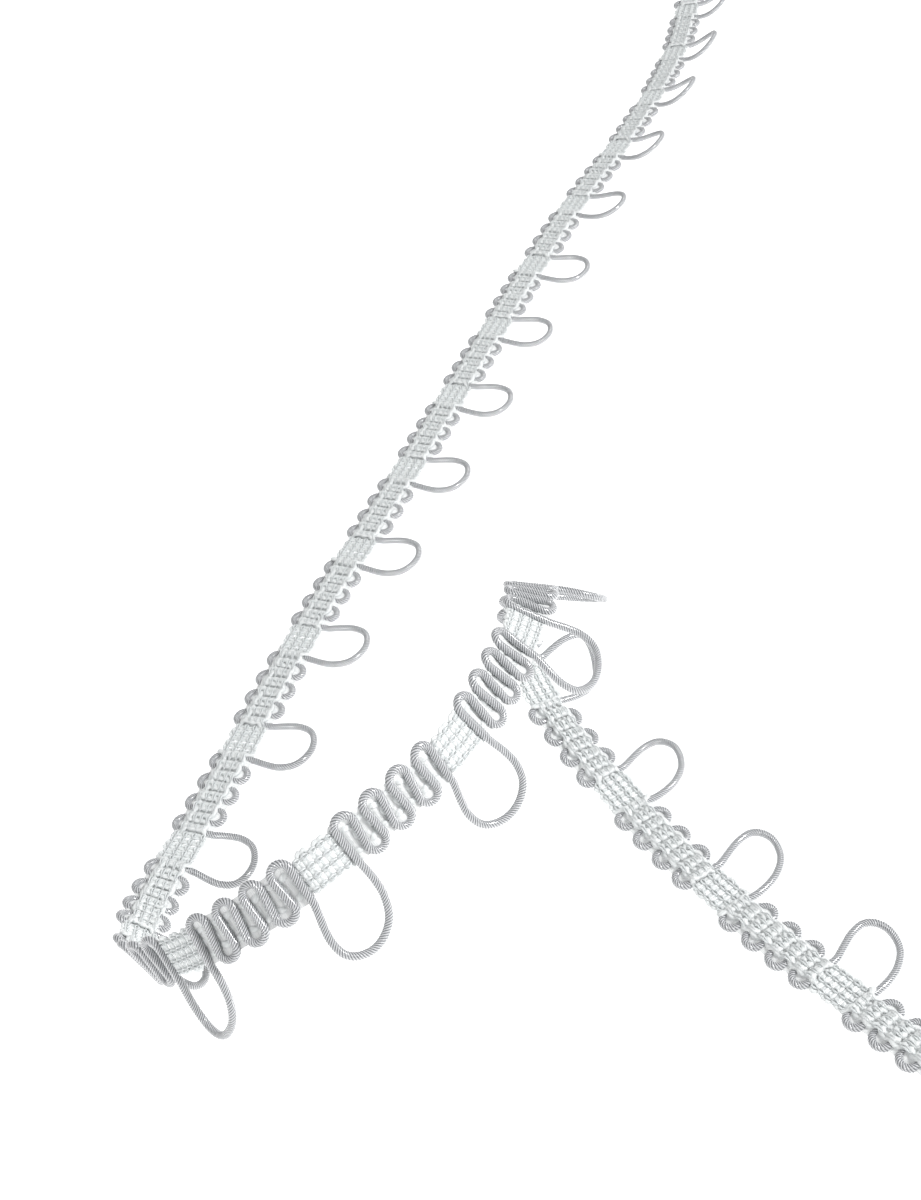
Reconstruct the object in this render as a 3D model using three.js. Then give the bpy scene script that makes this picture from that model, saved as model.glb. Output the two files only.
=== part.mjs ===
// Elastic button loop tape: a soft knitted tape with a covered elastic cord laid on its front in banks of
// close bends, and between every two banks the cord stands out at one edge as a loop for a button.
// The length lies on a table: a long flat run with the back up, a turn up on edge, a raised run with the
// front showing and its loops hanging, a drop at the back, and a short flat run that leaves to the front.
// Millimetres, +Z up. Distance along the tape is counted in pattern repeats of REPEAT millimetres.
import * as THREE from "three";

// The pattern.
const REPEAT = 23;
const LEG_SPACING = 2.22;
const LEGS = 8;
const LEG_REACH = 3.375;
const BEND_RADIUS = 1.32;
const FIRST_BANK = 0;
const LAST_BANK = 22;
const NODE_GAP = 0.3;

// The cord.
const CORD_THICKNESS = 1.24;
const CORD_SIDES = 6;
const BEND_STEPS = 4;
const LOOP_STEPS = 12;

// The knitted tape behind the cord.
const TAPE_THICKNESS = 1;
const TAPE_HALF_WIDTH = 3.05;
const TAPE_HALF_WIDTH_PLAIN = 2.75;
const TAPE_LEVEL = 1.42;
const TAPE_LEVEL_RIB = 1.6;
const TAPE_LEVEL_PLAIN = 0.4;
const TAPE_START = -1.32;
const TAPE_END = 22.32;
const DIP_INNER = 1.6;
const DIP_OUTER = 2.6;

// The middle of the whole piece on the table, which becomes the origin.
const MIDDLE_X = 17.084;
const MIDDLE_Y = 283.906;

// How the tape lies. Columns: repeat, then x, y and z of the cord layer's middle line, then the direction
// from the middle towards the loop edge.
const LAY = [
  [-1.4, 80.6, 446.7, 1.5, 0.93, -0.35, 0.1],
  [0, 70.6, 416.2, 1.9, 0.91, -0.39, 0.14],
  [1, 61.2, 395.3, 2.4, 0.88, -0.44, 0.18],
  [2, 49.9, 374.9, 2.3, 0.86, -0.48, 0.15],
  [3, 37.3, 355.7, 1.3, 0.85, -0.52, 0.08],
  [4, 25.9, 335.5, 0.62, 0.88, -0.47, 0],
  [5, 15.4, 315.1, 0.62, 0.89, -0.46, 0],
  [7, -5.5, 274.1, 0.62, 0.9, -0.45, 0],
  [9, -26.7, 233.2, 0.62, 0.91, -0.42, 0],
  [9.5, -31.7, 222.7, 0.62, 0.92, -0.39, 0],
  [10, -36.4, 212, 0.8, 0.93, -0.37, 0],
  [10.5, -41.1, 201.4, 1.1, 0.91, -0.4, -0.02],
  [11, -45.8, 190.8, 1.8, 0.87, -0.42, -0.08],
  [11.5, -49.7, 180.2, 3.5, 0.83, -0.36, -0.32],
  [12, -50.6, 169.9, 8, 0.74, -0.3, -0.6],
  [12.5, -48.2, 160.5, 14.2, 0.53, -0.4, -0.75],
  [13, -41.6, 154.9, 21.4, 0.37, -0.6, -0.71],
  [13.5, -32.1, 153.6, 27.6, 0.36, -0.7, -0.62],
  [14, -21.8, 156.4, 32, 0.4, -0.51, -0.75],
  [14.5, -12.2, 162.5, 34, 0.36, -0.31, -0.88],
  [15, -3.4, 170, 35.2, 0.49, -0.37, -0.79],
  [15.5, 3.1, 179.3, 35.7, 0.59, -0.35, -0.73],
  [16, 7.8, 189.7, 34.8, 0.74, -0.3, -0.56],
  [16.5, 10, 200.5, 31.7, 0.95, -0.24, -0.24],
  [17, 9.9, 209, 24.4, 0.97, -0.05, -0.21],
  [17.5, 8.4, 213.8, 14.3, 0.97, 0.2, -0.14],
  [17.75, 7.8, 213.2, 8.7, 0.93, 0.34, -0.14],
  [18, 9.2, 209.3, 4.8, 0.88, 0.42, -0.19],
  [18.5, 13.5, 199.1, 1.9, 0.9, 0.42, -0.15],
  [19, 18.2, 188.5, 1, 0.91, 0.42, 0],
  [20, 28.5, 167.7, 0.62, 0.88, 0.47, 0],
  [20.5, 34.3, 157.9, 0.62, 0.87, 0.48, 0],
  [21, 40.2, 148.5, 0.8, 0.87, 0.49, 0],
  [22.4, 57.7, 122, 2.1, 0.87, 0.49, 0.02],
];

// Half of an even loop. Columns: distance along the tape from the loop's middle, distance out of the bank.
const LOOP_OUTLINE = [
  [-3.73, 0],
  [-3.9, 0.7],
  [-4.25, 2.4],
  [-4.35, 4.2],
  [-3.65, 6.1],
  [-2.1, 7.25],
  [0, 7.7],
];
const LOOP_REACH = 7.7;
const FULL_SPREAD_REACH = 4;
const LEAN_POWER = 1.3;
const RISE_POWER = 1.6;

// How each loop differs from the even one. Columns: repeat, lean of the tip along the tape, share of the
// width, share of the reach, rise of the tip off the cord layer.
const LOOPS = [
  [-1, -0.6, 1, 0.86, 4],
  [0, -0.6, 1, 0.86, 4],
  [1, -0.6, 1, 0.9, 3],
  [2, -0.6, 1, 0.92, 2],
  [3, -0.6, 1, 1, 1.2],
  [4, -0.5, 1, 1, 0],
  [5, -0.2, 1, 1, 0],
  [6, -0.2, 1, 1, 0],
  [7, -0.5, 1, 1, 0],
  [8, -0.6, 1, 1, 0],
  [9, -0.8, 1, 1, 0],
  [10, -0.3, 1, 1, 0],
  [11, 0.5, 1, 1, 0],
  [12, 0, 1, 0.95, 0],
  [13, -1.2, 0.95, 1.08, 0],
  [14, -1, 0.96, 1.15, 0],
  [15, -0.4, 1, 1.1, 0],
  [16, -0.6, 1, 1.1, 0],
  [17, 0, 1, 1, 1],
  [18, -1.7, 0.98, 1.06, 0],
  [19, -2.2, 0.95, 1.06, 0.4],
  [20, -2.4, 0.95, 1.1, 0],
  [21, -2.4, 0.95, 1.1, 0],
  [22, -1.5, 1, 1, 0],
];

// The rows of a table read off smoothly at one repeat: a cubic between rows, with each row's slope taken
// from its two neighbours, and no slope where a neighbour is level with it.
function slopeAt(rows, index, column) {
  const rise = (a, b) => (rows[b][column] - rows[a][column]) / (rows[b][0] - rows[a][0]);
  if (index === 0) return rise(0, 1);
  if (index === rows.length - 1) return rise(index - 1, index);
  const riseBefore = rise(index - 1, index);
  const riseAfter = rise(index, index + 1);
  if (riseBefore === 0 || riseAfter === 0) return 0;
  const before = rows[index][0] - rows[index - 1][0];
  const after = rows[index + 1][0] - rows[index][0];
  return (riseBefore * after + riseAfter * before) / (before + after);
}

function readRows(rows, repeat) {
  let index = 0;
  while (index < rows.length - 2 && rows[index + 1][0] <= repeat) index += 1;
  const span = rows[index + 1][0] - rows[index][0];
  const u = (repeat - rows[index][0]) / span;
  const values = [];
  const slopes = [];
  for (let column = 1; column < rows[0].length; column += 1) {
    const from = rows[index][column];
    const to = rows[index + 1][column];
    const slopeFrom = slopeAt(rows, index, column) * span;
    const slopeTo = slopeAt(rows, index + 1, column) * span;
    const bend = 2 * (from - to) + slopeFrom + slopeTo;
    const curve = 3 * (to - from) - 2 * slopeFrom - slopeTo;
    values.push(from + u * (slopeFrom + u * (curve + u * bend)));
    slopes.push((slopeFrom + u * (2 * curve + 3 * u * bend)) / span);
  }
  return { values, slopes };
}

// The tape's own directions at one distance along it: forward, out to the loop edge, and out of its back.
function layAt(along) {
  const { values, slopes } = readRows(LAY, along / REPEAT);
  const place = new THREE.Vector3(values[0] - MIDDLE_X, values[1] - MIDDLE_Y, values[2]);
  const forward = new THREE.Vector3(slopes[0], slopes[1], slopes[2]).normalize();
  const out = new THREE.Vector3(values[3], values[4], values[5]);
  out.addScaledVector(forward, -out.dot(forward)).normalize();
  const back = new THREE.Vector3().crossVectors(forward, out);
  return { place, forward, out, back };
}

// A point given by its distance along, across and above the cord layer's middle line, with the direction
// out of the tape's back there.
function station(along, across, above = 0) {
  const lay = layAt(along);
  const point = lay.place.clone();
  point.addScaledVector(lay.out, across).addScaledVector(lay.back, above);
  return { point, back: lay.back };
}

// A path through stations, which carries its own section directions: the section's x goes across the path
// and its y out of the tape's back.
class StationPath extends THREE.Curve {
  constructor(points, acrosses, backs) {
    super();
    this.points = points;
    this.acrosses = acrosses;
    this.backs = backs;
  }

  getPoint(share, target = new THREE.Vector3()) {
    return target.copy(this.points[Math.round(share * (this.points.length - 1))]);
  }

  getPointAt(share, target) {
    return this.getPoint(share, target);
  }

  computeFrenetFrames() {
    const tangents = this.acrosses.map((across, i) => across.clone().cross(this.backs[i]).normalize());
    return { tangents, normals: this.acrosses, binormals: this.backs };
  }
}

// The direction of a run of points at one of them, halfway between the stretches that meet there.
function headingAt(points, index) {
  const heading = new THREE.Vector3();
  if (index > 0) heading.add(points[index].clone().sub(points[index - 1]).normalize());
  if (index < points.length - 1) heading.add(points[index + 1].clone().sub(points[index]).normalize());
  return heading.normalize();
}

const cordRadius = CORD_THICKNESS / 2 / Math.cos(Math.PI / CORD_SIDES);
const cordSection = new THREE.Shape(
  Array.from({ length: CORD_SIDES }, (_, side) => {
    const angle = (side * 2 * Math.PI) / CORD_SIDES;
    return new THREE.Vector2(cordRadius * Math.cos(angle), cordRadius * Math.sin(angle));
  }),
);

// A stretch of cord through stations.
function cordGeometry(stations) {
  const points = stations.map((entry) => entry.point);
  const acrosses = [];
  const backs = [];
  stations.forEach((entry, index) => {
    const heading = headingAt(points, index);
    const back = entry.back.clone().addScaledVector(heading, -entry.back.dot(heading)).normalize();
    backs.push(back);
    acrosses.push(back.clone().cross(heading));
  });
  return new THREE.ExtrudeGeometry(cordSection, {
    steps: points.length - 1,
    extrudePath: new StationPath(points, acrosses, backs),
    bevelEnabled: false,
  });
}

// The bends are rounder than half circles, so each leg leans back a little between two of them.
const bendReach = LEG_REACH - BEND_RADIUS;
const legLean =
  Math.asin((2 * BEND_RADIUS) / Math.hypot(LEG_SPACING, 2 * bendReach)) -
  Math.atan(LEG_SPACING / (2 * bendReach));
const legEnd = LEG_REACH - NODE_GAP;
const bankMiddle = (bank) => (bank - 0.5) * REPEAT;

// One bend, at the loop edge for side 1 and at the far edge for side -1, forward or back along the tape.
function bendStations(middle, side, ahead = 1) {
  return Array.from({ length: BEND_STEPS + 1 }, (_, step) => {
    const turn = (step / BEND_STEPS) * (Math.PI + 2 * legLean) - legLean;
    const along = middle - ahead * BEND_RADIUS * Math.cos(turn);
    return station(along, side * (bendReach + BEND_RADIUS * Math.sin(turn)));
  });
}

// One bank: legs across the tape, joined by bends. The first and last legs run on to the loops at the
// loop edge.
function bankStations(bank) {
  const firstLeg = bankMiddle(bank) - ((LEGS - 1) / 2) * LEG_SPACING;
  const stations = [station(firstLeg, legEnd)];
  for (let bend = 0; bend < LEGS - 1; bend += 1) {
    const side = bend % 2 === 0 ? -1 : 1;
    stations.push(...bendStations(firstLeg + (bend + 0.5) * LEG_SPACING, side));
  }
  stations.push(station(firstLeg + (LEGS - 1) * LEG_SPACING, legEnd));
  return stations;
}

// One loop, out from one bank and back into the next, leaning and rising by its own amounts.
function loopStations([repeat, lean, widthShare, reachShare, rise]) {
  const half = LOOP_OUTLINE.map(([ahead, outward]) => {
    const spread = 1 + (widthShare - 1) * Math.min(outward / FULL_SPREAD_REACH, 1);
    return new THREE.Vector2(ahead * spread, outward * reachShare);
  });
  const mirrored = half.slice(0, -1).reverse();
  const outline = new THREE.SplineCurve([
    ...half,
    ...mirrored.map((point) => new THREE.Vector2(-point.x, point.y)),
  ]);
  return outline.getSpacedPoints(LOOP_STEPS).map((point) => {
    const share = Math.max(point.y, 0) / LOOP_REACH;
    const along = repeat * REPEAT + point.x + lean * share ** LEAN_POWER;
    return station(along, LEG_REACH + point.y, rise * share ** RISE_POWER);
  });
}

// The cut ends: the two nearest legs of the next bank, with the bend between them.
function tailStations(repeat, ahead) {
  const along = repeat * REPEAT + ahead * (REPEAT / 2 - ((LEGS - 1) / 2) * LEG_SPACING);
  return [
    station(along, legEnd),
    ...bendStations(along + (ahead * LEG_SPACING) / 2, -1, ahead),
    station(along + ahead * LEG_SPACING, LEG_REACH),
  ];
}

// The knitted tape's own stations: raised over each bank, with a soft rib over every bend, and let down in
// the plain stretch under each loop.
function tapeStations() {
  const marks = [{ along: TAPE_START * REPEAT, level: TAPE_LEVEL, width: TAPE_HALF_WIDTH }];
  for (let bank = FIRST_BANK; bank <= LAST_BANK + 1; bank += 1) {
    const loop = (bank - 1) * REPEAT;
    for (const offset of [-DIP_OUTER, -DIP_INNER, DIP_INNER, DIP_OUTER]) {
      const low = Math.abs(offset) === DIP_INNER;
      marks.push({
        along: loop + offset,
        level: low ? TAPE_LEVEL_PLAIN : TAPE_LEVEL,
        width: low ? TAPE_HALF_WIDTH_PLAIN : TAPE_HALF_WIDTH,
      });
    }
    if (bank > LAST_BANK) break;
    const lastRib = LEGS / 2 - 1;
    for (let rib = -lastRib; rib <= lastRib; rib += 1) {
      marks.push({
        along: bankMiddle(bank) + rib * LEG_SPACING,
        level: rib % 2 === 0 ? TAPE_LEVEL : TAPE_LEVEL_RIB,
        width: TAPE_HALF_WIDTH,
      });
    }
  }
  marks.push({ along: TAPE_END * REPEAT, level: TAPE_LEVEL, width: TAPE_HALF_WIDTH });
  return marks;
}

function tapeGeometry() {
  const points = [];
  const acrosses = [];
  const backs = [];
  for (const { along, level, width } of tapeStations()) {
    const lay = layAt(along);
    points.push(lay.place.clone().addScaledVector(lay.back, level));
    acrosses.push(lay.out.clone().multiplyScalar(width));
    backs.push(lay.back.clone());
  }
  const halfThickness = TAPE_THICKNESS / 2;
  const section = new THREE.Shape([
    new THREE.Vector2(-1, -halfThickness),
    new THREE.Vector2(1, -halfThickness),
    new THREE.Vector2(1, halfThickness),
    new THREE.Vector2(-1, halfThickness),
  ]);
  return new THREE.ExtrudeGeometry(section, {
    steps: points.length - 1,
    extrudePath: new StationPath(points, acrosses, backs),
    bevelEnabled: false,
  });
}

const knitMaterial = new THREE.MeshStandardMaterial({ color: 0xe6e9ea, roughness: 0.75, metalness: 0 });
const cordMaterial = new THREE.MeshStandardMaterial({ color: 0xc4c8cc, roughness: 0.4, metalness: 0 });

const tape = new THREE.Group();

function addPiece(name, geometry, material) {
  const piece = new THREE.Mesh(geometry, material);
  piece.name = name;
  tape.add(piece);
}

const numbered = (word, number) => word + "_" + String(number).padStart(2, "0");

addPiece("ground_tape", tapeGeometry(), knitMaterial);
for (let bank = FIRST_BANK; bank <= LAST_BANK; bank += 1) {
  addPiece(numbered("cord_bank", bank), cordGeometry(bankStations(bank)), cordMaterial);
}
LOOPS.forEach((loop, index) => {
  addPiece(numbered("button_loop", index), cordGeometry(loopStations(loop)), cordMaterial);
});
addPiece("cord_tail_first", cordGeometry(tailStations(LOOPS[0][0], -1)), cordMaterial);
addPiece("cord_tail_last", cordGeometry(tailStations(LOOPS.at(-1)[0], 1)), cordMaterial);

export default tape;
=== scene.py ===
import math

import bpy
import numpy as np
from mathutils import Matrix, Vector


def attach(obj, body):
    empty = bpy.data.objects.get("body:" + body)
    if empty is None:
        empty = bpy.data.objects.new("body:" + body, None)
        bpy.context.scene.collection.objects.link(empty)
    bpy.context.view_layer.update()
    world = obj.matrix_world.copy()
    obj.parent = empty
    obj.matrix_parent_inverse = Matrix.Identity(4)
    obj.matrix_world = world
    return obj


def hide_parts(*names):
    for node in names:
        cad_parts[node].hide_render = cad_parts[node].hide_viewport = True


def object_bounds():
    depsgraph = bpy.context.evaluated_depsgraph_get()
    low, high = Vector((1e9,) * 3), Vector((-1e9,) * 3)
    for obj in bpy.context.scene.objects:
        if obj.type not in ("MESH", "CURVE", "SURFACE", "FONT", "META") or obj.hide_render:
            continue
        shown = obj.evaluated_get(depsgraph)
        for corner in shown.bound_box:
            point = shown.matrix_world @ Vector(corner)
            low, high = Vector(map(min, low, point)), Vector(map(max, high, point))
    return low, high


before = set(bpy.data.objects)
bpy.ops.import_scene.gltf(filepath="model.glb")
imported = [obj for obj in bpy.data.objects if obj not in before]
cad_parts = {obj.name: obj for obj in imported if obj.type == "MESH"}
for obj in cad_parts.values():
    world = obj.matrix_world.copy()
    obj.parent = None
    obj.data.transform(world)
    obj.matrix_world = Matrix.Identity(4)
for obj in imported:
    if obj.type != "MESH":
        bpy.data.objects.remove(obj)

# Elastic button loop tape: a knitted ground tape with a covered elastic cord in banks of eight close legs,
# and a button loop between every two banks. The route of both repeats the tables of part.mjs, in
# millimetres, and everything that is made goes into Blender in metres.
cad_low, cad_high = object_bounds()
MM = 0.001

# The pattern
REPEAT = 23
LEG_SPACING = 2.22
LEGS = 8
LEG_REACH = 3.375
BEND_RADIUS = 1.32
FIRST_LOOP = -1
LAST_LOOP = 22
TAPE_START = -1.32 * REPEAT
TAPE_END = 22.32 * REPEAT
MIDDLE = np.array([17.084, 283.906, 0])

# How the tape lies. Columns: repeat, then x, y and z of the cord layer's middle line, then the direction
# from the middle towards the loop edge.
LAY = np.array([
    [-1.4, 80.6, 446.7, 1.5, 0.93, -0.35, 0.1],
    [0, 70.6, 416.2, 1.9, 0.91, -0.39, 0.14],
    [1, 61.2, 395.3, 2.4, 0.88, -0.44, 0.18],
    [2, 49.9, 374.9, 2.3, 0.86, -0.48, 0.15],
    [3, 37.3, 355.7, 1.3, 0.85, -0.52, 0.08],
    [4, 25.9, 335.5, 0.62, 0.88, -0.47, 0],
    [5, 15.4, 315.1, 0.62, 0.89, -0.46, 0],
    [7, -5.5, 274.1, 0.62, 0.9, -0.45, 0],
    [9, -26.7, 233.2, 0.62, 0.91, -0.42, 0],
    [9.5, -31.7, 222.7, 0.62, 0.92, -0.39, 0],
    [10, -36.4, 212, 0.8, 0.93, -0.37, 0],
    [10.5, -41.1, 201.4, 1.1, 0.91, -0.4, -0.02],
    [11, -45.8, 190.8, 1.8, 0.87, -0.42, -0.08],
    [11.5, -49.7, 180.2, 3.5, 0.83, -0.36, -0.32],
    [12, -50.6, 169.9, 8, 0.74, -0.3, -0.6],
    [12.5, -48.2, 160.5, 14.2, 0.53, -0.4, -0.75],
    [13, -41.6, 154.9, 21.4, 0.37, -0.6, -0.71],
    [13.5, -32.1, 153.6, 27.6, 0.36, -0.7, -0.62],
    [14, -21.8, 156.4, 32, 0.4, -0.51, -0.75],
    [14.5, -12.2, 162.5, 34, 0.36, -0.31, -0.88],
    [15, -3.4, 170, 35.2, 0.49, -0.37, -0.79],
    [15.5, 3.1, 179.3, 35.7, 0.59, -0.35, -0.73],
    [16, 7.8, 189.7, 34.8, 0.74, -0.3, -0.56],
    [16.5, 10, 200.5, 31.7, 0.95, -0.24, -0.24],
    [17, 9.9, 209, 24.4, 0.97, -0.05, -0.21],
    [17.5, 8.4, 213.8, 14.3, 0.97, 0.2, -0.14],
    [17.75, 7.8, 213.2, 8.7, 0.93, 0.34, -0.14],
    [18, 9.2, 209.3, 4.8, 0.88, 0.42, -0.19],
    [18.5, 13.5, 199.1, 1.9, 0.9, 0.42, -0.15],
    [19, 18.2, 188.5, 1, 0.91, 0.42, 0],
    [20, 28.5, 167.7, 0.62, 0.88, 0.47, 0],
    [20.5, 34.3, 157.9, 0.62, 0.87, 0.48, 0],
    [21, 40.2, 148.5, 0.8, 0.87, 0.49, 0],
    [22.4, 57.7, 122, 2.1, 0.87, 0.49, 0.02],
])

# Half of an even loop. Columns: distance along the tape from the loop's middle, distance out of the bank.
LOOP_OUTLINE = np.array([
    [-3.73, 0],
    [-3.9, 0.7],
    [-4.25, 2.4],
    [-4.35, 4.2],
    [-3.65, 6.1],
    [-2.1, 7.25],
    [0, 7.7],
])
LOOP_REACH = 7.7
LOOP_SPREAD_FROM = 4
LEAN_POWER = 1.3
RISE_POWER = 1.6

# How each loop differs from the even one. Columns: repeat, lean of the tip along the tape, share of the
# width, share of the reach, rise of the tip off the cord layer.
LOOPS = [
    [-1, -0.6, 1, 0.86, 4],
    [0, -0.6, 1, 0.86, 4],
    [1, -0.6, 1, 0.9, 3],
    [2, -0.6, 1, 0.92, 2],
    [3, -0.6, 1, 1, 1.2],
    [4, -0.5, 1, 1, 0],
    [5, -0.2, 1, 1, 0],
    [6, -0.2, 1, 1, 0],
    [7, -0.5, 1, 1, 0],
    [8, -0.6, 1, 1, 0],
    [9, -0.8, 1, 1, 0],
    [10, -0.3, 1, 1, 0],
    [11, 0.5, 1, 1, 0],
    [12, 0, 1, 0.95, 0],
    [13, -1.2, 0.95, 1.08, 0],
    [14, -1, 0.96, 1.15, 0],
    [15, -0.4, 1, 1.1, 0],
    [16, -0.6, 1, 1.1, 0],
    [17, 0, 1, 1, 1],
    [18, -1.7, 0.98, 1.06, 0],
    [19, -2.2, 0.95, 1.06, 0.4],
    [20, -2.4, 0.95, 1.1, 0],
    [21, -2.4, 0.95, 1.1, 0],
    [22, -1.5, 1, 1, 0],
]

# The covered cord, to the crowns of its wrapping threads. It is a little thinner than the solid's 0.62.
CORD_RADIUS = 0.58
WRAP_PITCH = 0.37
WRAP_STARTS = 6
WRAP_DEPTH = 0.08
CORD_SIDES = 12
ROUTE_STEP = 0.1
LOOP_STEPS = 8

# The second cord piece starts at this bank. The margin allows for the lean of its first leg.
CUT_BANK = 12
CUT_MARGIN = 0.5

# The ground tape's yarns: how many sides they have, where the chains run, and how wide the knit is
YARN_SIDES = 6
CHAIN_SIDES = 5
CHAIN_STEPS = 6
CHAIN_LINES = (-2.1, -0.7, 0.7, 2.1)
EDGE_BANK = 1.5
EDGE_PLAIN = 2.45
STITCH_INSET = 0.6
PLAIN_MARGIN = 0.2
PLAIN_EASE = 0.9

# Heights above the cord layer's middle: on a leg, between two legs, and in a plain stretch
WEFT_LEVELS = (0.84, 0.4, 0.25)
CHAIN_LEVELS = (0.84, 0.56, 0.25)
WEB_LEVELS = (0.66, 0.4, 0.25)

# How a weft yarn runs: how far beside a stitch's middle, how its turns start and reach out at the edge, and
# how uneven it is
WEFT_POINTS = 9
WEFT_STEP = 0.33
BESIDE_BANK = 0.44
BESIDE_PLAIN = 0.22
TURN_INSET = 0.3
TURN_REACH = 0.28
EDGE_UNEVEN = 0.13
BESIDE_UNEVEN = 0.08
BOW_UNEVEN = 0.1

# A weft yarn's half widths: each pair is the width where a chain holds it and what it gains away from there
WEFT_ACROSS_BANK = (0.38, 0.18)
WEFT_ACROSS_PLAIN = (0.25, 0.1)
WEFT_UP_BANK = (0.18, 0.16)
WEFT_UP_PLAIN = (0.17, 0.05)
PINCH_REACH = 0.55

# A chain: each pair is its value in a bank and what it gains in a plain stretch. They are the share of its
# line's distance from the middle, how far its strands part, how high it lifts, and its half width.
CHAIN_PLACE = (0.74, 0.26)
CHAIN_PART = (0.19, 0.07)
CHAIN_LIFT = (0.22, 0.05)
CHAIN_HALF = (0.13, 0.03)
CHAIN_REST = 0.08
CHAIN_FLATNESS = 0.85
FRONT_CHAIN_PAST = 0.35

# The inlaid web
WEB_COLUMNS = 12
WEB_ROWS = 12
WEB_BANK = 2.9
WEB_START_INSET = 0.2
WEB_END_INSET = 0.1


def unit(vectors):
    return vectors / np.linalg.norm(vectors, axis=1, keepdims=True)


def across_of(vectors, along):
    """The part of each vector that is square to the matching unit direction, as a unit vector."""
    return unit(vectors - along * np.sum(vectors * along, axis=1, keepdims=True))


def row_slopes(rows):
    """The slope of each column at each row, from its two neighbours, and none where one is level with it."""
    rise = np.diff(rows[:, 1:], axis=0) / np.diff(rows[:, :1], axis=0)
    before = np.diff(rows[:-1, :1], axis=0)
    after = np.diff(rows[1:, :1], axis=0)
    blended = (rise[:-1] * after + rise[1:] * before) / (before + after)
    level = (rise[:-1] == 0) | (rise[1:] == 0)
    return np.vstack([rise[:1], np.where(level, 0, blended), rise[-1:]])


LAY_SLOPES = row_slopes(LAY)


def lay_at(along):
    """Where the cord layer's middle line is, and the tape's directions there: forward, out and back."""
    repeat = along / REPEAT
    index = np.clip(np.searchsorted(LAY[:, 0], repeat, side="right") - 1, 0, len(LAY) - 2)
    span = (LAY[index + 1, 0] - LAY[index, 0])[:, None]
    share = (repeat - LAY[index, 0])[:, None] / span
    start, stop = LAY[index, 1:], LAY[index + 1, 1:]
    slope_start, slope_stop = LAY_SLOPES[index] * span, LAY_SLOPES[index + 1] * span
    bend = 2 * (start - stop) + slope_start + slope_stop
    curve = 3 * (stop - start) - 2 * slope_start - slope_stop
    values = start + share * (slope_start + share * (curve + share * bend))
    heading = (slope_start + share * (2 * curve + 3 * share * bend)) / span
    forward = unit(heading[:, :3])
    out = across_of(values[:, 3:], forward)
    return values[:, :3] - MIDDLE, forward, out, np.cross(forward, out)


def laid(route):
    """Points in millimetres for rows of distance along, across and above, and the tape's back there."""
    place, forward, out, back = lay_at(route[:, 0])
    return place + out * route[:, 1:2] + back * route[:, 2:3], back


def smooth_through(points, steps):
    """A smooth line through flat or solid points, with so many steps between each two."""
    before = np.vstack([points[:1], points[:-2]])
    start, stop = points[:-1], points[1:]
    after = np.vstack([points[2:], points[-1:]])
    slope_start, slope_stop = (stop - before) / 2, (after - start) / 2
    share = (np.arange(steps) / steps)[None, :, None]
    start, stop = start[:, None], stop[:, None]
    slope_start, slope_stop = slope_start[:, None], slope_stop[:, None]
    bend = 2 * (start - stop) + slope_start + slope_stop
    curve = 3 * (stop - start) - 2 * slope_start - slope_stop
    line = start + share * (slope_start + share * (curve + share * bend))
    return np.vstack([line.reshape(-1, points.shape[1]), points[-1:]])


def lengths_along(points):
    return np.concatenate([[0], np.cumsum(np.linalg.norm(np.diff(points, axis=0), axis=1))])


def spaced(points, step):
    """The line again, with its points an even step apart."""
    length = lengths_along(points)
    at = np.linspace(0, length[-1], max(2, round(length[-1] / step) + 1))
    return np.stack([np.interp(at, length, column) for column in points.T], axis=1)


def headings_of(points):
    ahead = np.diff(points, axis=0)
    return unit(np.vstack([ahead[:1], ahead[1:] + ahead[:-1], ahead[-1:]]))


def named_mesh(name, points, faces, corner_uvs, material):
    """A smooth mesh object from points in millimetres, faces, and a pair of UV numbers for each corner."""
    mesh = bpy.data.meshes.new(name)
    mesh.from_pydata((points * MM).tolist(), [], faces)
    mesh.uv_layers.new(name="yarn_way")
    mesh.uv_layers["yarn_way"].data.foreach_set("uv", np.asarray(corner_uvs, np.float32).ravel())
    mesh.shade_smooth()
    mesh.materials.append(material)
    piece = bpy.data.objects.new(name, mesh)
    bpy.context.scene.collection.objects.link(piece)
    return piece


def yarn_tubes(lines, sides):
    """Points, faces and UVs of round yarns. Each line has points, backs, and half widths across and up."""
    all_points, all_faces, all_uvs = [], [], []
    first = 0
    for points, backs, half_across, half_up in lines:
        heading = headings_of(points)
        up = across_of(backs, heading)
        side = np.cross(up, heading)
        turn = np.arange(sides) * 2 * math.pi / sides
        ring = (
            points[:, None]
            + side[:, None] * (half_across[:, None] * np.cos(turn))[:, :, None]
            + up[:, None] * (half_up[:, None] * np.sin(turn))[:, :, None]
        )
        count = len(points)
        all_points.append(ring.reshape(-1, 3))
        row = np.arange(count - 1)[:, None] * sides
        here = np.arange(sides)[None, :]
        after = (here + 1) % sides
        quads = np.stack([row + here, row + after, row + sides + after, row + sides + here], axis=2) + first
        all_faces.extend(quads.reshape(-1, 4).tolist())
        length = lengths_along(points)
        low = np.broadcast_to(length[:-1, None], (count - 1, sides))
        high = np.broadcast_to(length[1:, None], (count - 1, sides))
        left = np.broadcast_to(here / sides, (count - 1, sides))
        right = left + 1 / sides
        corners = np.stack([
            np.stack([low, left], axis=2),
            np.stack([low, right], axis=2),
            np.stack([high, right], axis=2),
            np.stack([high, left], axis=2),
        ], axis=2)
        all_uvs.append(corners.reshape(-1, 2))
        ends = [list(range(first + sides - 1, first - 1, -1))]
        ends.append(list(range(first + (count - 1) * sides, first + count * sides)))
        all_faces.extend(ends)
        all_uvs.append(np.zeros((2 * sides, 2)))
        first += count * sides
    return np.vstack(all_points), all_faces, np.vstack(all_uvs)


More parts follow.
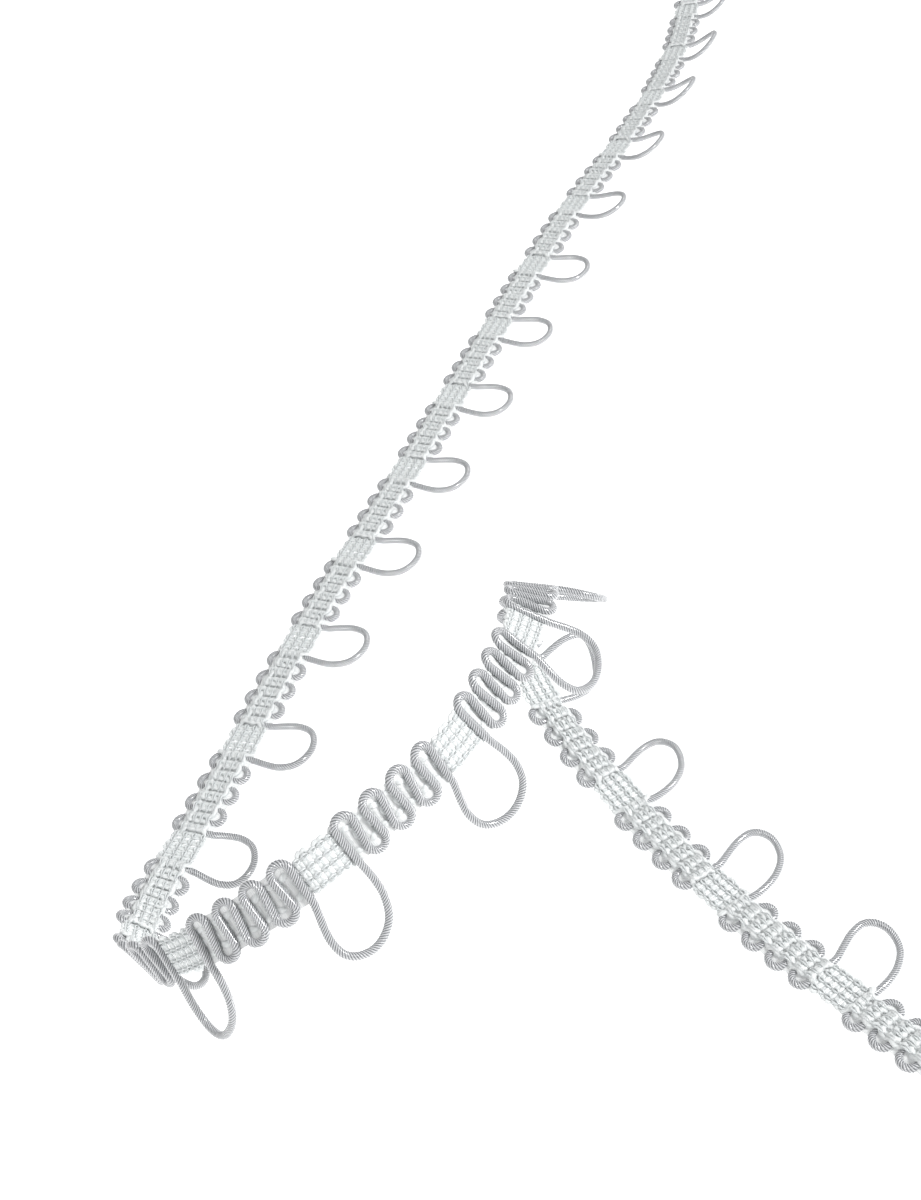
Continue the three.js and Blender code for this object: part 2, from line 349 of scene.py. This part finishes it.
# The cord's route. The bends are rounder than half circles, so each leg leans back a little.
BEND_REACH = LEG_REACH - BEND_RADIUS
LEG_LEAN = math.asin(2 * BEND_RADIUS / math.hypot(LEG_SPACING, 2 * BEND_REACH)) - math.atan(
    LEG_SPACING / (2 * BEND_REACH)
)
FIRST_LEG = (REPEAT - (LEGS - 1) * LEG_SPACING) / 2
BEND_POINTS = 15


def bend_line(middle, side, ahead=1):
    """A bend from one leg to the next, at the loop edge for side 1 and at the far edge for -1."""
    turn = np.linspace(-LEG_LEAN, math.pi + LEG_LEAN, BEND_POINTS)
    return np.stack([
        middle - ahead * BEND_RADIUS * np.cos(turn),
        side * (BEND_REACH + BEND_RADIUS * np.sin(turn)),
        np.zeros(BEND_POINTS),
    ], axis=1)


def bank_line(bank):
    """One bank of legs from the loop before it to the loop after it."""
    first = (bank - 1) * REPEAT + FIRST_LEG
    last = bank * REPEAT - FIRST_LEG
    bends = [bend_line(first + (bend + 0.5) * LEG_SPACING, bend % 2 * 2 - 1) for bend in range(LEGS - 1)]
    return np.vstack([[[first, LEG_REACH, 0]], *bends, [[last, LEG_REACH, 0]]])


def loop_line(repeat, lean, width_share, reach_share, rise):
    """One loop, out of one bank and back into the next."""
    spread = 1 + (width_share - 1) * np.minimum(LOOP_OUTLINE[:, 1] / LOOP_SPREAD_FROM, 1)
    half = np.stack([LOOP_OUTLINE[:, 0] * spread, LOOP_OUTLINE[:, 1] * reach_share], axis=1)
    outline = smooth_through(np.vstack([half, half[-2::-1] * (-1, 1)]), LOOP_STEPS)
    share = np.maximum(outline[:, 1], 0) / LOOP_REACH
    return np.stack([
        repeat * REPEAT + outline[:, 0] + lean * share**LEAN_POWER,
        LEG_REACH + outline[:, 1],
        rise * share**RISE_POWER,
    ], axis=1)


def tail_line(repeat, ahead):
    """A cut end: the two nearest legs of the next bank and the bend between them, from the loop outwards."""
    along = repeat * REPEAT + ahead * FIRST_LEG
    return np.vstack([
        [[along, LEG_REACH, 0]],
        bend_line(along + ahead * LEG_SPACING / 2, -1, ahead),
        [[along + ahead * LEG_SPACING, LEG_REACH, 0]],
    ])


def cord_route():
    parts = [tail_line(FIRST_LOOP, -1)[::-1]]
    for row in LOOPS:
        parts.append(loop_line(*row)[1:-1])
        parts.append(tail_line(LAST_LOOP, 1) if row[0] == LAST_LOOP else bank_line(row[0] + 1))
    return spaced(np.vstack(parts), ROUTE_STEP)


def wrapped_cord(name, points, backs, start, stop, material):
    """The covered cord between two lengths along it. Its vertices follow the wrap: even rows are the ridges
    of the wrapping threads and odd rows the grooves, and each row climbs round the cord as a thread does."""
    length = lengths_along(points)
    heading = headings_of(points)
    up = across_of(backs, heading)
    side = np.cross(up, heading)
    climb = WRAP_STARTS * WRAP_PITCH
    climb_rows = 2 * WRAP_STARTS
    first_row = math.floor((start - climb) / WRAP_PITCH) * 2
    last_row = math.ceil(stop / WRAP_PITCH) * 2 + 2 + climb_rows
    rows = np.arange(first_row, last_row)
    lap = np.arange(CORD_SIDES) / CORD_SIDES
    at = rows[:, None] * WRAP_PITCH / 2 + lap * climb
    low, high = at <= start, at >= stop
    at = np.clip(at, start, stop).ravel()
    radius = np.broadcast_to((CORD_RADIUS - WRAP_DEPTH * (rows % 2))[:, None], low.shape).ravel()
    turn = np.broadcast_to(lap * 2 * math.pi, low.shape).ravel()

    def read(columns):
        return np.stack([np.interp(at, length, column) for column in columns.T], axis=1)

    ring = read(points)
    ring += read(side) * (radius * np.cos(turn))[:, None] + read(up) * (radius * np.sin(turn))[:, None]
    number = np.arange(low.size).reshape(low.shape)
    first_inside = np.argmax(~low, axis=0) - 1
    last_inside = low.shape[0] - np.argmax(~high[::-1], axis=0)
    columns = np.arange(CORD_SIDES)
    number = np.where(low, number[first_inside, columns], number)
    number = np.where(high, number[last_inside, columns], number)
    # Going once round moves on by one whole climb.
    wrapped = np.hstack([number[:-climb_rows], number[climb_rows:, :1]])
    count = wrapped.shape[0] - 1
    quads = np.stack([wrapped[:-1, :-1], wrapped[:-1, 1:], wrapped[1:, 1:], wrapped[1:, :-1]], axis=2)
    phase = np.broadcast_to((rows[:count] / 2)[:, None], (count, CORD_SIDES))
    round_by = np.broadcast_to(lap, (count, CORD_SIDES))
    uvs = np.stack([
        np.stack([phase, round_by], axis=2),
        np.stack([phase, round_by + 1 / CORD_SIDES], axis=2),
        np.stack([phase + 0.5, round_by + 1 / CORD_SIDES], axis=2),
        np.stack([phase + 0.5, round_by], axis=2),
    ], axis=2)
    faces, corner_uvs = [], []
    for quad, pairs in zip(quads.reshape(-1, 4).tolist(), uvs.reshape(-1, 4, 2).tolist()):
        kept = [i for i in range(4) if quad[i] != quad[i - 1]]
        if len(kept) > 2:
            faces.append([quad[i] for i in kept])
            corner_uvs.extend(pairs[i] for i in kept)
    used, renumbered = np.unique(np.concatenate([np.array(f) for f in faces]), return_inverse=True)
    sizes = np.cumsum([len(f) for f in faces])[:-1]
    faces = [part.tolist() for part in np.split(renumbered, sizes)]
    return named_mesh(name, ring[used], faces, corner_uvs, material)


# The ground tape's stitches: one over each leg of a bank, and smaller ones in the plain stretches
PLAIN_STITCHES = 5
PLAIN_STITCH = 2 * FIRST_LEG / (PLAIN_STITCHES + 1)


def stitch_places():
    """The distance along the tape of every weft bundle, and 1 for the plain ones or 0 for those on a leg."""
    plain = [((index - PLAIN_STITCHES // 2) * PLAIN_STITCH, 1) for index in range(PLAIN_STITCHES)]
    bank = [(FIRST_LEG + leg * LEG_SPACING, 0) for leg in range(LEGS)]
    places = [
        (loop * REPEAT + offset, plainness)
        for loop in range(FIRST_LOOP - 1, LAST_LOOP + 1)
        for offset, plainness in plain + bank
    ]
    first, last = TAPE_START + STITCH_INSET, TAPE_END - STITCH_INSET
    return np.array([row for row in places if first < row[0] < last])


STITCHES = stitch_places()


def eased(share):
    """A share from 0 to 1 again, with a soft start and stop. Past either end it stays there."""
    share = np.clip(share, 0, 1)
    return share * share * (3 - 2 * share)


def gained(pair, share):
    return pair[0] + pair[1] * share


def from_loop_at(along):
    """The distance along the tape from the nearest loop's middle."""
    return np.abs(along - np.round(along / REPEAT) * REPEAT)


def plainness_at(along):
    """1 in the plain stretch under a loop and 0 over a bank, eased between them."""
    return eased((FIRST_LEG - PLAIN_MARGIN - from_loop_at(along)) / PLAIN_EASE)


def leg_wave_at(along):
    """1 over the middle of each leg of a bank and 0 halfway between two legs."""
    return 0.5 + 0.5 * np.cos((from_loop_at(along) - FIRST_LEG) * 2 * math.pi / LEG_SPACING)


def level_at(along, on_leg, between, plain_level):
    """A height above the cord layer's middle that follows the legs in the banks and is level elsewhere."""
    plain = plainness_at(along)
    return (between + (on_leg - between) * leg_wave_at(along)) * (1 - plain) + plain_level * plain


def weft_yarn(first_side, offset):
    """One weft yarn: across each bundle and round the edge into the next, pinched where chains hold it."""
    side = first_side
    route = []
    for index, (along, plain) in enumerate(STITCHES):
        edge = EDGE_PLAIN if plain else EDGE_BANK
        edge += EDGE_UNEVEN * math.sin(index * 2.3 + first_side)
        near_plain = STITCHES[max(index - 1, 0) : index + 2, 1].any()
        beside = offset * (BESIDE_PLAIN if near_plain else BESIDE_BANK)
        beside += BESIDE_UNEVEN * math.sin(index * 1.7)
        straight = side * (edge - TURN_INSET)
        places = np.linspace(-straight, straight, WEFT_POINTS)
        bow = BOW_UNEVEN * math.sin(index * 3.1 + offset)
        route.extend([along + beside + bow * (1 - (across / edge) ** 2), across, 0] for across in places)
        if index + 1 < len(STITCHES):
            middle = (along + STITCHES[index + 1, 0]) / 2 + beside
            route.append([middle, side * (edge + TURN_REACH), 0])
        side = -side
    route = spaced(smooth_through(np.array(route), 2), WEFT_STEP)
    plain = plainness_at(route[:, 0])
    route[:, 2] = level_at(route[:, 0], *WEFT_LEVELS)
    held = np.min(np.abs(route[:, 1:2] - np.array(CHAIN_LINES)), axis=1)
    puff = eased(held / PINCH_REACH)
    half_across = gained(WEFT_ACROSS_BANK, puff) * (1 - plain) + gained(WEFT_ACROSS_PLAIN, puff) * plain
    half_up = gained(WEFT_UP_BANK, puff) * (1 - plain) + gained(WEFT_UP_PLAIN, puff) * plain
    points, backs = laid(route)
    return points, backs, half_across, half_up


def chain_run(stitch, line, strand, face):
    """One strand of a chain, for stitch numbers. It parts from its twin over a bundle and dips between."""
    boundaries = (STITCHES[1:, 0] + STITCHES[:-1, 0]) / 2
    along = np.interp(stitch, np.arange(len(boundaries)), boundaries)
    plain = plainness_at(along)
    across = line * gained(CHAIN_PLACE, plain)
    across += strand * gained(CHAIN_PART, plain) * np.sin(stitch * math.pi)
    over = 0.5 - 0.5 * np.cos(stitch * 2 * math.pi)
    lift = CHAIN_REST + gained(CHAIN_LIFT, plain) * over
    level = level_at(along, *CHAIN_LEVELS)
    points, backs = laid(np.stack([along, across, level + face * lift], axis=1))
    half = gained(CHAIN_HALF, plain)
    return points, backs, half, half * CHAIN_FLATNESS


def back_chains():
    stitch = np.arange((len(STITCHES) - 2) * CHAIN_STEPS + 1) / CHAIN_STEPS
    return [chain_run(stitch, line, strand, 1) for line in CHAIN_LINES for strand in (-1, 1)]


def front_chains():
    """The front's chains, which show in the plain stretches only."""
    centres = [index for index, (along, plain) in enumerate(STITCHES) if plain and along % REPEAT == 0]
    yarns = []
    for centre in centres:
        half = PLAIN_STITCHES / 2 + FRONT_CHAIN_PAST
        stitch = centre - 0.5 + np.arange(-half, half, 1 / CHAIN_STEPS)
        yarns.extend(chain_run(stitch, line, strand, -1) for line in CHAIN_LINES for strand in (-1, 1))
    return yarns


def web_sheet(closed_material, open_material):
    """The fine inlaid web behind the yarns, one thin sheet along the whole tape. In the banks its edges sink
    to the cord's middle, inside the cord."""
    along = np.arange(TAPE_START + WEB_START_INSET, TAPE_END - WEB_END_INSET, LEG_SPACING / WEB_ROWS)
    share = np.linspace(-1, 1, WEB_COLUMNS + 1)
    plain = plainness_at(along)
    half_width = WEB_BANK + (EDGE_PLAIN - WEB_BANK) * plain
    rows, columns = len(along), WEB_COLUMNS + 1
    grid = np.zeros((rows, columns, 3))
    grid[:, :, 0] = along[:, None]
    grid[:, :, 1] = half_width[:, None] * share
    middle_level = level_at(along, *WEB_LEVELS)[:, None]
    edge_level = WEB_LEVELS[2] * plain[:, None]
    grid[:, :, 2] = middle_level + (edge_level - middle_level) * share**2
    points, backs = laid(grid.reshape(-1, 3))
    number = np.arange(rows * columns).reshape(rows, columns)
    quads = np.stack([number[:-1, :-1], number[:-1, 1:], number[1:, 1:], number[1:, :-1]], axis=2)
    stitch = np.interp(along, STITCHES[:, 0], np.arange(len(STITCHES)))
    pair = np.stack([
        np.broadcast_to(stitch[:, None], (rows, columns)),
        grid[:, :, 1],
    ], axis=2).reshape(-1, 2)
    faces = quads.reshape(-1, 4)
    sheet = named_mesh("inlaid_web", points, faces.tolist(), pair[faces.ravel()], closed_material)
    sheet.data.materials.append(open_material)
    is_open = np.repeat(plain[:-1] > 0.5, WEB_COLUMNS)
    sheet.data.polygons.foreach_set("material_index", is_open.astype(np.int32))
    return sheet


class Shade:
    """A value or colour in a material. Sums and products of values add Math nodes to the material."""

    def __init__(self, tree, output=None):
        self.tree = tree
        self.output = output

    def node(self, kind, settings=(), sockets=(), output=0):
        """Adds a node: its settings first, then the values or links of its sockets."""
        made = self.tree.nodes.new(kind)
        for name, value in dict(settings).items():
            setattr(made, name, value)
        for name, value in dict(sockets).items():
            if isinstance(value, Shade):
                self.tree.links.new(value.output, made.inputs[name])
            else:
                made.inputs[name].default_value = value
        return Shade(self.tree, made.outputs[output] if made.outputs else None)

    def maths(self, operation, *values):
        return self.node("ShaderNodeMath", {"operation": operation}, enumerate(values))

    def __add__(self, other):
        return self.maths("ADD", self, other)

    def __radd__(self, other):
        return self.maths("ADD", other, self)

    def __rsub__(self, other):
        return self.maths("SUBTRACT", other, self)

    def __mul__(self, other):
        return self.maths("MULTIPLY", self, other)

    def __rmul__(self, other):
        return self.maths("MULTIPLY", other, self)

    def __pow__(self, other):
        return self.maths("POWER", self, other)

    def mixed(self, low, high):
        """A colour from low to high as this value goes from 0 to 1."""
        return self.node(
            "ShaderNodeMix",
            {"data_type": "RGBA"},
            {0: self, 6: low, 7: high},
            output=2,
        )


BUMP_STRENGTH = 0.6
FULL_TURN = 2 * math.pi


def yarn_material(name, thread_colour, shade_and_streak_colour, fixed, groove, roughness, bump_height, alpha=None):
    """A material for threads. groove, roughness and alpha are functions of the material's first Shade. The
    groove value sets the bump and turns the base colour towards the second colour: painted shade in the
    grooves of the cord and the yarns, and the dark streaks of the web.
    """
    material = bpy.data.materials.new(name)
    material.use_nodes = True
    tree = material.node_tree
    tree.nodes.clear()
    start = Shade(tree)
    depth_shade_and_streaks = groove(start)
    # On the cord and the yarns this darkening is painted shade in their grooves; on the web it makes the
    # dark streaks of its threads.
    colour = depth_shade_and_streaks.mixed(thread_colour, shade_and_streak_colour)
    bump = start.node(
        "ShaderNodeBump",
        {"invert": True},
        {"Height": depth_shade_and_streaks, "Distance": bump_height, "Strength": BUMP_STRENGTH},
    )
    sockets = {"Base Color": colour, "Roughness": roughness(start), "Normal": bump, **fixed}
    if alpha:
        sockets["Alpha"] = alpha(start)
    surface = start.node("ShaderNodeBsdfPrincipled", {}, sockets)
    start.node("ShaderNodeOutputMaterial", {}, {"Surface": surface})
    return material


def uv_parts(start):
    pair = start.node("ShaderNodeUVMap", {"uv_map": "yarn_way"})
    x = start.node("ShaderNodeSeparateXYZ", {}, {0: pair}, output=0)
    y = Shade(start.tree, x.output.node.outputs[1])
    return x, y


def cloudiness(start, scale):
    place = start.node("ShaderNodeTexCoord", {}, {}, output="Object")
    return start.node("ShaderNodeTexNoise", {}, {"Vector": place, "Scale": scale, "Detail": 2})


def wrap_groove_and_shade(start):
    """0 on the crown of a wrapping thread and 1 in the groove between two, with fine filaments in it. It
    sets the bump, and the base colour darkens with it: painted shade in the grooves.
    """
    phase = uv_parts(start)[0]
    turn = phase * FULL_TURN
    wave = 0.5 - 0.5 * turn.maths("COSINE", turn)
    return (wave**1.6) * 0.85 + cloudiness(start, 5200) * 0.2


def yarn_twist_and_shade(start):
    """The fine filaments of a soft yarn, twisted along it. It sets the bump and darkens the base colour:
    painted shade in the grooves of the twist, and tone that differs at random from the noise.
    """
    length, lap = uv_parts(start)
    slant = (length * 1.1 + lap * 5) * FULL_TURN
    wave = 0.5 + 0.5 * slant.maths("SINE", slant)
    return wave * 0.4 + cloudiness(start, 2600) * 0.5


def uneven_roughness(least, scale, spread):
    """The roughness of a material, with fine noise on it, as yarn_material takes it."""
    return lambda start: least + cloudiness(start, scale) * spread


SATIN = {"Specular IOR Level": 1, "Coat Weight": 1, "Coat Roughness": 0.12}
SOFT = {
    "Specular IOR Level": 0.5,
    "Subsurface Weight": 0.5,
    "Subsurface Radius": (0.0005, 0.0005, 0.0005),
    "Subsurface Scale": 1,
}

cord_finish = yarn_material(
    "covered_cord_satin",
    (0.7, 0.71, 0.73, 1),
    # The second colour is painted shade, darkest in the grooves between the wrapping threads.
    (0.06, 0.07, 0.08, 1),
    SATIN,
    wrap_groove_and_shade,
    uneven_roughness(0.2, 900, 0.14),
    bump_height=0.00018,
)
weft_finish = yarn_material(
    "weft_yarn_white",
    (0.92, 0.94, 0.94, 1),
    # The second colour is painted shade in the grooves of the twist, with random tone from the noise.
    (0.68, 0.71, 0.71, 1),
    SOFT,
    yarn_twist_and_shade,
    uneven_roughness(0.32, 1500, 0.2),
    bump_height=0.00004,
)
chain_finish = yarn_material(
    "chain_yarn_white",
    (0.84, 0.87, 0.87, 1),
    # The second colour is painted shade in the grooves of the twist, with random tone from the noise.
    (0.52, 0.55, 0.56, 1),
    SOFT,
    yarn_twist_and_shade,
    uneven_roughness(0.28, 1500, 0.2),
    bump_height=0.00003,
)


def web_streaks(start):
    """Fine threads across the tape, as light and dark streaks."""
    stitch, across = uv_parts(start)
    place = start.node("ShaderNodeCombineXYZ", {}, {0: stitch * 14, 1: across * 0.7})
    return start.node("ShaderNodeTexNoise", {}, {"Vector": place, "Scale": 1, "Detail": 1})


def plain_openness(start):
    """See-through between the bundles of a plain stretch."""
    turn = uv_parts(start)[0] * FULL_TURN
    return 0.55 + 0.35 * turn.maths("COSINE", turn)


def bank_openness(start):
    """Nearly closed, with slits between the fine threads."""
    return 1.45 - web_streaks(start) * 0.9


def web_material(name, openness):
    return yarn_material(
        name,
        (0.95, 0.96, 0.96, 1),
        (0.78, 0.8, 0.8, 1),
        SOFT,
        web_streaks,
        uneven_roughness(0.5, 1500, 0.2),
        bump_height=0.00002,
        alpha=openness,
    )


bank_web_finish = web_material("inlaid_web_white", bank_openness)
plain_web_finish = web_material("inlaid_web_open", plain_openness)

# The pieces
route = cord_route()
cord_points, cord_backs = laid(route)
cord_length = lengths_along(cord_points)
cut_from = (CUT_BANK - 1) * REPEAT + FIRST_LEG - CUT_MARGIN
cut_at = cord_length[np.argmax((route[:, 0] > cut_from) & (route[:, 1] < LEG_REACH))]
cord_end = cord_length[-1]
far_cord = wrapped_cord("covered_cord_far_run", cord_points, cord_backs, 0, cut_at, cord_finish)
near_cord = wrapped_cord("covered_cord_near_runs", cord_points, cord_backs, cut_at, cord_end, cord_finish)
tape_pieces = [
    named_mesh("weft_yarn_first", *yarn_tubes([weft_yarn(1, 1)], YARN_SIDES), weft_finish),
    named_mesh("weft_yarn_second", *yarn_tubes([weft_yarn(-1, -1)], YARN_SIDES), weft_finish),
    named_mesh("chain_stitches_back", *yarn_tubes(back_chains(), CHAIN_SIDES), chain_finish),
    named_mesh("chain_stitches_front", *yarn_tubes(front_chains(), CHAIN_SIDES), chain_finish),
]
web = web_sheet(bank_web_finish, plain_web_finish)


def is_far(node):
    """Whether a cord node lies before the cut between the two cord pieces."""
    if node.startswith("cord_tail"):
        return node.endswith("first")
    return int(node[-2:]) < CUT_BANK + node.startswith("button_loop")


cord_nodes = [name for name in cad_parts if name.startswith(("cord_", "button_loop"))]
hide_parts(*filter(is_far, cord_nodes))
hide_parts(*[name for name in cord_nodes if not is_far(name)])
for piece in (far_cord, near_cord):
    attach(piece, "root")
for piece in (web, *tape_pieces):
    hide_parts("ground_tape")
    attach(piece, "root")

# The table top and the lights, in metres
FLOOR_HALF = 4
FLOOR_GAP = 0.0002
FLOOR_GLOW = 0.75
ROOM_LIGHT = 0.47


def table_top():
    mesh = bpy.data.meshes.new("table_top")
    corners = [(x * FLOOR_HALF, y * FLOOR_HALF, 0) for x, y in ((-1, -1), (1, -1), (1, 1), (-1, 1))]
    mesh.from_pydata(corners, [], [(0, 1, 2, 3)])
    top = bpy.data.objects.new("table_top", mesh)
    bpy.context.scene.collection.objects.link(top)
    top.location.z = cad_low.z - FLOOR_GAP
    material = bpy.data.materials.new("table_top_white")
    material.use_nodes = True
    shader = material.node_tree.nodes["Principled BSDF"]
    shader.inputs["Base Color"].default_value = (0.93, 0.93, 0.93, 1)
    shader.inputs["Roughness"].default_value = 0.9
    shader.inputs["Specular IOR Level"].default_value = 0.1
    shader.inputs["Emission Color"].default_value = (1, 1, 1, 1)
    shader.inputs["Emission Strength"].default_value = FLOOR_GLOW
    mesh.materials.append(material)


table_top()


def area_light(name, place, aim, size, power):
    light = bpy.data.lights.new(name, "AREA")
    light.shape = "RECTANGLE"
    light.size, light.size_y = size
    light.energy = power
    lamp = bpy.data.objects.new(name, light)
    bpy.context.scene.collection.objects.link(lamp)
    lamp.location = place
    lamp.rotation_mode = "QUATERNION"
    lamp.rotation_quaternion = (Vector(aim) - Vector(place)).to_track_quat("-Z", "Y")


area_light("key_light", place=(0.46, -0.16, 0.52), aim=(0, -0.08, 0), size=(0.1, 0.16), power=3.7)
area_light("left_light", place=(-0.3, -0.5, 0.3), aim=(-0.03, -0.12, 0.02), size=(0.06, 0.1), power=0.5)

world = bpy.data.worlds.new("soft_room")
bpy.context.scene.world = world
world.use_nodes = True
world.node_tree.nodes["Background"].inputs["Color"].default_value = (1, 1, 1, 1)
world.node_tree.nodes["Background"].inputs["Strength"].default_value = ROOM_LIGHT

# The camera at the photograph's viewing angle
PICTURE_WIDTH = 921
PICTURE_HEIGHT = 1200
SENSOR_HEIGHT = 36
camera_data = bpy.data.cameras.new("photo_view")
camera_data.sensor_fit = "VERTICAL"
camera_data.sensor_height = SENSOR_HEIGHT
camera_data.sensor_width = SENSOR_HEIGHT * PICTURE_WIDTH / PICTURE_HEIGHT
camera_data.lens = 57.15
camera_data.clip_start = 0.01
camera_data.clip_end = 20
camera = bpy.data.objects.new("photo_view", camera_data)
bpy.context.scene.collection.objects.link(camera)
camera.matrix_world = Matrix((
    (0.9867, 0.1624, 0, -0.017084),
    (-0.1064, 0.6465, -0.7554, -0.283906),
    (-0.1227, 0.7455, 0.6552, 0.206),
    (0, 0, 0, 1),
))
bpy.context.scene.camera = camera
bpy.context.scene.view_settings.view_transform = "Standard"
